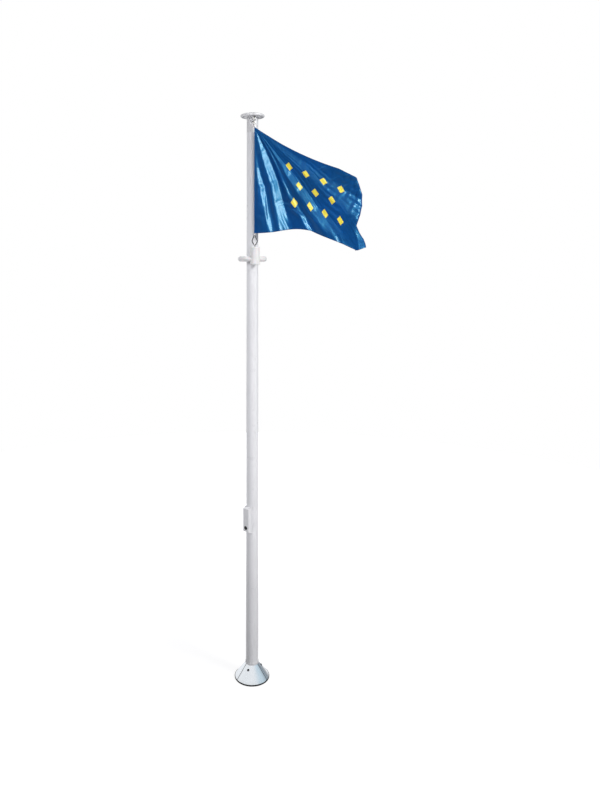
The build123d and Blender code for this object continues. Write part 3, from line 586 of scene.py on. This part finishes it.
    # short creases near the fly: middle, slope of its line, half length, height
    creases = (
        (0.735, 4.440, 32, 0.035, 0.0075), (0.790, 4.500, 48, 0.030, 0.0060),
        (0.825, 4.455, 62, 0.032, 0.0060), (0.770, 4.385, 50, 0.040, 0.0050),
        (0.690, 4.370, 40, 0.035, 0.0045), (0.560, 4.580, 20, 0.030, 0.0050),
        (0.840, 4.370, 75, 0.040, 0.0050), (0.660, 4.500, 28, 0.030, 0.0040),
        (0.745, 4.520, 35, 0.022, 0.0050), (0.610, 4.440, 35, 0.035, 0.0035),
        (0.800, 4.290, 60, 0.040, 0.0040), (0.355, 4.235, -40, 0.075, 0.0050),
        (0.395, 4.215, -44, 0.060, 0.0045), (0.290, 4.300, -20, 0.045, 0.0040),
    )
    for middle_x, middle_z, slope, length, height in creases:
        c, d = np.cos(np.radians(slope)), np.sin(np.radians(slope))
        over = (x - middle_x) * c + (z - middle_z) * d
        off = (z - middle_z) * c - (x - middle_x) * d + 3.0 * over**2
        ridge = np.exp(-((off / 0.011) ** 2)) - 0.6 * np.exp(-(((off - 0.02) / 0.014) ** 2))
        y -= height * ridge * np.exp(-((over / length) ** 2)) * (s < round_at + 0.03)
    fine = np.sin(2 * np.pi * (turn / 3.1 + 0.35 * np.sin(r * 11))) * np.clip((r - 0.25) / 0.3, 0, 1)
    y += 0.0016 * fine * (0.5 + 0.5 * np.sin(r * 17 + turn * 0.4)) * np.clip(turn / 4, 0, 1)
    # ripples along the free edge of the part behind
    loose = np.clip((s - round_at - 0.08) / 0.06, 0, 1)
    y += 0.010 * loose * np.sin(2 * np.pi * (t / 0.075 + 0.6 * s + 0.3 * np.sin(t * 9)))
    x[0], y[0], z[0] = corner.x, corner.y, corner.z - t[0]
    hold = np.full_like(s, 0.2)
    hold = np.maximum(hold, 0.6 * np.clip(1 - r / 0.2, 0, 1))
    hold = np.maximum(hold, 0.45 * np.clip(1 - t / 0.06, 0, 1))
    hold = np.maximum(
        hold, 0.5 * np.clip((s - round_at + 0.08) / 0.06, 0, 1) * np.clip((t - 0.45) / 0.06, 0, 1)
    )
    hold[0] = 1.0
    return np.stack([x, y, z], -1).reshape(-1, 3), hold.ravel()


def relax(cloth, hold, frames):
    """Let the cloth settle a little under its weight, its hoist edge held, and keep the result."""
    group = cloth.vertex_groups.new(name="hold")
    for index, strength in enumerate(hold):
        group.add([index], float(strength), "REPLACE")
    modifier = cloth.modifiers.new("settle", "CLOTH")
    settings = modifier.settings
    settings.quality = 7
    settings.mass = 0.1
    settings.tension_stiffness = settings.compression_stiffness = 15
    settings.shear_stiffness = 5
    settings.bending_stiffness = 12
    settings.tension_damping = settings.compression_damping = settings.shear_damping = 5
    settings.bending_damping = 0.5
    settings.shrink_min = -0.02
    settings.vertex_group_mass = "hold"
    settings.effector_weights.gravity = 0.2
    modifier.collision_settings.use_self_collision = True
    modifier.collision_settings.self_distance_min = 0.003
    modifier.point_cache.frame_start = 1
    modifier.point_cache.frame_end = frames
    for number in range(1, frames + 1):
        scene.frame_set(number)
    settled = cloth.evaluated_get(bpy.context.evaluated_depsgraph_get()).to_mesh()
    flat = np.empty(len(settled.vertices) * 3)
    settled.vertices.foreach_get("co", flat)
    cloth.modifiers.remove(modifier)
    cloth.vertex_groups.clear()
    scene.frame_set(1)
    return flat.reshape(-1, 3)


points, hold = flag_surface()
index = np.arange((CELLS_LONG + 1) * (CELLS_HIGH + 1)).reshape(CELLS_LONG + 1, CELLS_HIGH + 1)
quads = np.stack([index[:-1, :-1], index[:-1, 1:], index[1:, 1:], index[1:, :-1]], -1).reshape(-1, 4)
flag = add_piece("flag_cloth_sheet", points, quads.tolist(), "flag_cloth", None)
uv_layer = flag.data.uv_layers.new(name="flat")
columns, levels = np.divmod(np.array([loop.vertex_index for loop in flag.data.loops]), CELLS_HIGH + 1)
uv = np.stack([columns / CELLS_LONG * FLAG_WIDTH, levels / CELLS_HIGH * FLAG_HOIST], -1)
uv_layer.data.foreach_set("uv", uv.ravel())
settled = points + SETTLED_SHARE * (relax(flag, hold, SETTLING_FRAMES) - points)
settled[index[0]] = points[index[0]]
flag.data.vertices.foreach_set("co", settled.ravel())
flag.data.update()
for kind, name in (("SUBSURF", "smooth"), ("SOLIDIFY", "thickness")):
    modifier = flag.modifiers.new(name, kind)
    if kind == "SUBSURF":
        modifier.levels = modifier.render_levels = 1
        modifier.boundary_smooth = "PRESERVE_CORNERS"
    else:
        modifier.thickness = 0.0012
        modifier.offset = 0
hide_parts("flag")
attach(flag, "flag_set")

# rope sewn into the flag's heading, with the cloth round it
heading_radius = 0.0032
verts, faces, flat_places = [], [], []
steps, around = 240, 16
for i in range(steps + 1):
    t = FLAG_HOIST * i / steps
    grip = 1 - 0.25 * max(0.0, 1 - min(t, FLAG_HOIST - t) / 0.004)
    for k in range(around):
        a = 2 * pi * k / around
        reach = heading_radius * grip * (1 + 0.03 * sin(9 * a + 60 * t) + 0.02 * sin(t * 900))
        verts.append(Vector((corner.x + 0.0012 + reach * cos(a), corner.y + reach * sin(a), corner.z - t)))
        flat_places.append((0.004 + 0.008 * k / around, t))
for i in range(steps):
    for k in range(around):
        n = (k + 1) % around
        faces.append((i * around + k, (i + 1) * around + k, (i + 1) * around + n, i * around + n))
faces.append(tuple(range(around)))
faces.append(tuple(reversed(range(steps * around, (steps + 1) * around))))
heading = add_piece("flag_heading", verts, faces, "flag_cloth", "flag_set")
heading_uv = heading.data.uv_layers.new(name="flat")
for loop in heading.data.loops:
    heading_uv.data[loop.index].uv = flat_places[loop.vertex_index]

# --- Ropes ----------------------------------------------------------------------------------------

outer_foot = Vector((halyard_axis.x, halyard_axis.y, outer_low.z - 0.002))
outer_head = Vector((halyard_axis.x, halyard_axis.y, pulley_z))
outer = add_piece(
    "halyard_outer_rope", *braid(smooth_run([outer_foot, outer_head], 0.0006), ROPE_RADIUS), "rope", None,
    replaced=["halyard_outer"],
)
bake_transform(outer)

bend_radius = halyard_axis.xy.length / 2
bend_points = []
for k in range(141):
    a = pi * k / 140
    bend_points.append(lead * (bend_radius * (1 + cos(a))) + Vector((0, 0, pulley_z + bend_radius * sin(a))))
add_piece("halyard_bend_rope", *braid(bend_points, ROPE_RADIUS), "rope", "truck", replaced=["halyard_bend"])

knot_low, knot_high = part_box("halyard_knot")
wraps = []
for k in range(241):
    a = 2 * pi * 3.5 * k / 240
    rise = knot_high.z - 0.0075 + 0.0065 * k / 240
    wraps.append(
        Vector((halyard_axis.x, halyard_axis.y, rise)) + (lead * cos(a) + lead_side * sin(a)) * WRAP_RADIUS
    )
eye = []
for k in range(121):
    a = 2 * pi * k / 120
    centre = Vector((halyard_axis.x, halyard_axis.y, (knot_low.z + knot_high.z - 0.007) / 2))
    eye.append(centre + lead * (0.0063 * sin(a)) + Vector((0, 0, 0.0063 * cos(a))))
add_piece(
    "halyard_knot_rope",
    *joined([
        braid(wraps, 0.0017, pitch=0.006, plaits=6, around=16),
        braid(eye[:-1], 0.0026, pitch=0.009, plaits=6, around=20, closed=True),
        braid(smooth_run([Vector((halyard_axis.x, halyard_axis.y, knot_high.z - 0.009)),
                          Vector((halyard_axis.x, halyard_axis.y, knot_high.z))], 0.0006), 0.0031),
    ]),
    "rope", "flag_set", replaced=["halyard_knot"],
)

for node_name in ("flag_loop_top", "flag_loop_bottom"):
    low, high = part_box(node_name)
    centre = (low + high) / 2
    wire = 0.0015
    half = 0.0075 - wire
    straight = (high.z - low.z) / 2 - wire - half
    around_loop = []
    for k in range(160):
        a = 2 * pi * k / 160
        reach = straight if sin(a) >= 0 else -straight
        around_loop.append(centre + lead * (half * cos(a)) + Vector((0, 0, half * sin(a) + reach)))
    around_loop = smooth_run(around_loop + [around_loop[0]], 0.0008)[:-1]
    cord = braid(around_loop, wire, pitch=0.005, plaits=6, around=14, closed=True)
    add_piece(node_name + "_cord", *cord, "rope", "flag_set", replaced=[node_name])

hitch_low, hitch_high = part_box("halyard_hitch")
door_out = outward(DOOR_TURN)
door_across = outward(DOOR_TURN + 90)
hitch_z = (hitch_low.z + hitch_high.z) / 2
hitch_out = [(hitch_low + hitch_high).xy.to_3d().dot(door_out) / 2 + step for step in (-0.00315, 0.00315)]
hitch_radius = (hitch_high.z - hitch_low.z) / 2 - ROPE_RADIUS
turns = []
for k in range(281):
    a = 2 * pi * 2 * k / 280
    out = hitch_out[0] + (hitch_out[1] - hitch_out[0]) * k / 280
    turns.append(door_out * out + (door_across * cos(a) + Vector((0, 0, 1)) * sin(a)) * hitch_radius
                 + Vector((0, 0, hitch_z)))
add_piece(
    "halyard_hitch_rope", *braid(turns, ROPE_RADIUS * 0.97, around=24), "rope", "pole",
    replaced=["halyard_hitch"],
)

# --- Small fittings -------------------------------------------------------------------------------


def towards(direction, at):
    """Matrix whose z axis points this way, placed at a point."""
    return Matrix.Translation(at) @ direction.to_track_quat("Z", "Y").to_matrix().to_4x4()


upwards = Vector((0, 0, 1))
bolts, washers = [], []
for turn in (45, 135, 225, 315):
    at = outward(turn) * 0.1
    place = Matrix.Translation((at.x, at.y, flange_top))
    washers.append(lathe([(0, 0.0), (0.015, 0.0), (0.015, 0.0022), (0.0145, 0.003), (0, 0.003)], place))
    bolts.append(hexagon(0.024, 0.003, 0.016, place, 0.0014))
    bolts.append(
        lathe([(0, 0.0155), (0.008, 0.0155), (0.008, 0.0262), (0.0066, 0.0276), (0, 0.0276)], place, 24)
    )
add_piece("anchor_washers", *joined(washers), "galvanised_steel", "pole", smooth=False)
add_piece("anchor_nuts", *joined(bolts), "galvanised_steel", "pole", smooth=False)


def weld_bead(radius, z, size, turns=220):
    """Bead round the socket's foot, with the ripples of a hand-run weld."""
    verts, faces = [], []
    around = 10
    for i in range(turns):
        a = 2 * pi * i / turns
        grow = 1 + 0.12 * sin(i * 2 * pi / 5) + 0.08 * sin(i * 0.37)
        for k in range(around):
            b = 2 * pi * k / around
            reach = radius + size * grow * cos(b) * 0.8
            verts.append(Vector((reach * cos(a), reach * sin(a), z + size * grow * (0.15 + 0.75 * sin(b)))))
    for i in range(turns):
        j = (i + 1) % turns
        for k in range(around):
            n = (k + 1) % around
            faces.append((i * around + k, j * around + k, j * around + n, i * around + n))
    return verts, faces


socket_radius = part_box("pole_socket")[1].x
add_piece(
    "socket_weld", *weld_bead(socket_radius + 0.002, flange_top + 0.002, 0.004), "galvanised_steel", "pole"
)

# black rubber strips in the cover's three joints, dark strips put where the joints' shadow lines fall as painted
# shade, and the edging over its lip
LIP_RADIUS, LIP_TOP, HEAD_RADIUS, HEAD_TOP = 0.162, 0.013, 0.0624, 0.151
STRIP_HALF_WIDTH, STRIP_RISE = 0.0027, 0.0014
slope = Vector((HEAD_RADIUS - LIP_RADIUS, 0, HEAD_TOP - LIP_TOP))
strip_length = slope.length - 0.001
slope.normalize()
square = Vector((slope.z, 0, -slope.x))
steps, around = 60, 10
strips = []
for number in range(3):
    turn = -30 + 120 * number
    across, out = outward(turn + 90), outward(turn)
    run = out * slope.x + upwards * slope.z
    proud = out * square.x + upwards * square.z
    start = out * (LIP_RADIUS - 0.0005) + upwards * (LIP_TOP + 0.0005)
    verts, faces = [], []
    for i in range(steps + 1):
        wave = 1 + 0.04 * sin(i * 1.7)
        for k in range(around):
            a = 2 * pi * k / around
            side = across * (STRIP_HALF_WIDTH * wave * cos(a))
            verts.append(start + run * (strip_length * i / steps) + side + proud * (STRIP_RISE * sin(a)))
    for i in range(steps):
        for k in range(around):
            n = (k + 1) % around
            faces.append((i * around + k, i * around + n, (i + 1) * around + n, (i + 1) * around + k))
    faces.append(tuple(reversed(range(around))))
    faces.append(tuple(range(steps * around, (steps + 1) * around)))
    strips.append((verts, faces))
add_piece("cover_joint_strips", *joined(strips), "black_rubber", "pole")

# rubber washers that show round the heads of the cover's screws, bent to the cone
SCREW_SHARE = 0.25
WASHER_PROFILE = [(0, -0.0004), (0.0112, -0.0004), (0.0114, 0.0008), (0.0104, 0.0017), (0.0088, 0.0012),
                  (0, 0.0012)]
rings = []
for turn in (-114, 6, 126):
    across, out = outward(turn + 90), outward(turn)
    proud = out * square.x + upwards * square.z
    foot = (out * (HEAD_RADIUS + (LIP_RADIUS - HEAD_RADIUS) * SCREW_SHARE)
            + upwards * (HEAD_TOP - (HEAD_TOP - LIP_TOP) * SCREW_SHARE))
    verts, faces = lathe(WASHER_PROFILE, towards(proud, foot), 40)
    bend = square.x / 2 / foot.xy.length
    rings.append(([point - proud * (bend * (point - foot).dot(across) ** 2) for point in verts], faces))
add_piece("cover_screw_washers", *joined(rings), "black_rubber", "pole")


def hoop(profile, turns=160):
    """Closed ring with this cross-section, as (radius, height) points."""
    verts, faces = [], []
    count = len(profile)
    for i in range(turns):
        a = 2 * pi * i / turns
        verts += [Vector((radius * cos(a), radius * sin(a), height)) for radius, height in profile]
    for i in range(turns):
        j = (i + 1) % turns
        for k in range(count):
            n = (k + 1) % count
            faces.append((i * count + k, j * count + k, j * count + n, i * count + n))
    return verts, faces


edging = [(0.1606, 0.0093), (0.1644, 0.0092), (0.1648, 0.0098), (0.1646, 0.0125), (0.1636, 0.0142),
          (0.162, 0.015), (0.1606, 0.0148), (0.1602, 0.0142), (0.1621, 0.013), (0.1621, 0.0098)]
add_piece("cover_edging", *hoop(edging), "black_rubber", "pole")

# lock: dark disc on the plug's front, open at the keyway
lock_joint = next(joint for joint in frame["joints"] if joint["name"] == "lock_turn")
ahead = Vector(lock_joint["axis"]).normalized()
aside = ahead.cross(upwards)
plug_low, plug_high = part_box("lock_plug")
plug_radius = (plug_high.z - plug_low.z) / 2
middle = ahead * (abs(plug_low.x) / abs(ahead.x) - plug_radius) + upwards * (plug_low.z + plug_radius)
verts, faces = [], []
turns = 48
for half_wide, half_high, rise in ((0.0011, 0.0047, 0.0), (0.0011, 0.0047, 0.0006), (0.0082, 0.0082, 0.0008),
                                   (0.0087, 0.0087, 0.0005), (0.0087, 0.0087, 0.0)):
    for k in range(turns):
        a = 2 * pi * k / turns
        verts.append(middle + aside * (half_wide * cos(a)) + upwards * (half_high * sin(a)) + ahead * rise)
for row in range(5):
    next_row = (row + 1) % 5
    for k in range(turns):
        n = (k + 1) % turns
        faces.append((row * turns + k, row * turns + n, next_row * turns + n, next_row * turns + k))
add_piece("lock_plug_face", verts, faces, "dark_steel", "lock")

# karabiner: the gate's pivot rivet heads
gate_joint = next(joint for joint in frame["joints"] if joint["name"] == "gate_swing")
pivot, pivot_axis = Vector(gate_joint["pos_m"]), Vector(gate_joint["axis"]).normalized()
heads = []
for side in (1, -1):
    place = towards(pivot_axis * side, pivot + pivot_axis * (side * 0.0028))
    heads.append(lathe([(0, 0.0), (0.0019, 0.0), (0.0019, 0.0006), (0.0012, 0.0011), (0, 0.0013)], place, 20))
add_piece("karabiner_rivet", *joined(heads), "stainless_steel", "gate")

# truck: two grub screws that clamp the neck, as dark sockets
neck_low, neck_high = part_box("truck_neck")
GRUB_PROFILE = [(0, 0.0), (0.0045, 0.0), (0.0045, 0.0011), (0.0038, 0.0015), (0.0024, 0.0015),
                (0.0022, -0.0012), (0, -0.0014)]
grubs = []
for turn in (LEAD_TURN + 120, LEAD_TURN + 240):
    place = towards(outward(turn), outward(turn) * (neck_high.x - 0.0006) + upwards * (neck_low.z + 0.02))
    grubs.append(lathe(GRUB_PROFILE, place, 24))
add_piece("truck_grub_screws", *joined(grubs), "stainless_steel", "truck")

# --- Floor, backdrop and light --------------------------------------------------------------------

floor_mesh = bpy.data.meshes.new("floor")
builder = bmesh.new()
bmesh.ops.create_circle(builder, cap_ends=True, radius=9, segments=96)
builder.to_mesh(floor_mesh)
builder.free()
floor = link(bpy.data.objects.new("floor", floor_mesh))
floor.location = (0, 0, -0.0005)
floor_paint = Paint("floor", (0.17, 0.17, 0.175), 0.9)
tree = floor_paint.tree
glow = floor_paint.node("Emission")
glow.inputs["Color"].default_value = (1, 1, 1, 1)
x, y, z = floor_paint.axes()
distance = floor_paint.node("VectorMath", floor_paint.place, operation="LENGTH").outputs["Value"]
path = floor_paint.node("LightPath")
# the camera sees it white far off, and a little darker near the pole so that the shadow shows
looked_at = floor_paint.math(
    "MULTIPLY", path.outputs["Is Camera Ray"], floor_paint.span(distance, 1.2, 4.5, 0.86, 1.0)
)
# painted reflection: a glow that only reflections see, so that a polished surface mirrors a floor that gets darker
# to the right and towards the front
dim_reflection_side = floor_paint.math(
    "MAXIMUM", floor_paint.span(x, 0.12, 0.5), floor_paint.span(y, -0.6, -2.5, 0.0, 0.7)
)
painted_reflection = floor_paint.math(
    "MULTIPLY", path.outputs["Is Glossy Ray"], floor_paint.span(dim_reflection_side, 0.0, 1.0, 0.85, 0.1)
)
floor_paint.put(glow.inputs["Strength"], floor_paint.math("ADD", looked_at, painted_reflection))
# painted shade: the floor's own colour is dark near the pole and pale further out, so that little light bounces up
# onto the foot of the pole
floor_paint.tone(floor_paint.span(distance, 0.8, 4.0), (0.78, 0.78, 0.79))
total = floor_paint.node("AddShader")
floor_paint.put(total.inputs[0], floor_paint.shader.outputs[0])
floor_paint.put(total.inputs[1], glow.outputs[0])
floor_paint.put(tree.nodes["Material Output"].inputs["Surface"], total.outputs[0])
floor_mesh.materials.append(floor_paint.material)

world = bpy.data.worlds.new("world")
scene.world = world
world.use_nodes = True
sky = Nodes(world.node_tree, "Generated")
background = sky.tree.nodes["Background"]
path = sky.node("LightPath")
x, y, z = sky.axes()
# what a polished surface mirrors: white sky, pale blue to the right and dark grey-blue behind that,
# and darker low down on the side the object is seen from
azimuth = sky.math("ARCTAN2", x, sky.math("MULTIPLY", y, -1.0))
right = sky.mix(sky.span(azimuth, radians(15), radians(75)), (1.0, 1.0, 1.0), (0.66, 0.8, 0.88))
behind = sky.mix(sky.span(azimuth, radians(75), radians(125)), right, (0.2, 0.25, 0.29))
low = sky.math("MULTIPLY", sky.span(z, 0.2, 0.45, 1.0, 0.0), sky.span(y, -0.6, -0.2, 1.0, 0.0))
painted_reflection = sky.mix(low, behind, (0.3, 0.3, 0.31))
# light from all round, weaker from the left and from below
sideways = sky.math("MAXIMUM", sky.span(x, -0.9, 0.5, 0.1, 0.6), sky.span(y, 0.25, 0.85, 0.0, 0.75))
level = sky.math("MULTIPLY", sky.span(z, -0.25, 0.2, 0.22, 1.0), sideways)
round_light = sky.mix(level, (0.0, 0.0, 0.0), (0.98, 0.985, 1.03))
shown = sky.mix(path.outputs["Is Glossy Ray"], round_light, painted_reflection)
white = sky.math("MAXIMUM", path.outputs["Is Camera Ray"], path.outputs["Is Transmission Ray"])
sky.put(background.inputs["Color"], sky.mix(white, shown, (1.0, 1.0, 1.0)))
background.inputs["Strength"].default_value = 1.0


def lamp(name, at, target, size, power, colour, spread=180):
    data = bpy.data.lights.new(name, "AREA")
    data.shape = "DISK"
    data.size = size
    data.energy = power
    data.color = colour
    data.spread = radians(spread)
    made = link(bpy.data.objects.new(name, data))
    made.location = at
    made.rotation_euler = (Vector(target) - Vector(at)).to_track_quat("-Z", "Y").to_euler()
    return made


def link_light(made, state, names):
    """Make a lamp light only these nodes, or all but these."""
    receivers = bpy.data.collections.new(made.name + "_receivers")
    made.light_linking.receiver_collection = receivers
    for name in names:
        receivers.objects.link(frame["nodes"][name])
    for linked in receivers.collection_objects:
        linked.light_linking.link_state = state


key = lamp("key", (6.5, -4.5, 7.5), (0, 0, 3.2), 2.7, 550, (1.0, 0.99, 0.97))
# its hard mirror image would be a white stripe on the polished cover
link_light(key, "EXCLUDE", ("cone_sector_front", "cone_sector_right", "cone_sector_left"))
fill = lamp("fill", (-3.5, -4.0, 5.6), (0, 0, 3.2), 3.0, 31, (0.97, 0.975, 1.0), spread=68)
fill.visible_glossy = False
# a weak low lamp for the underside of the cap
reflector = lamp("reflector", (-0.6, -2.6, 0.9), (-0.1, 0, 4.95), 1.2, 1.5, (0.98, 0.98, 1.0), spread=22)
link_light(reflector, "INCLUDE", ("truck_cap",))

scene.view_settings.view_transform = "Standard"

bpy.context.view_layer.update()
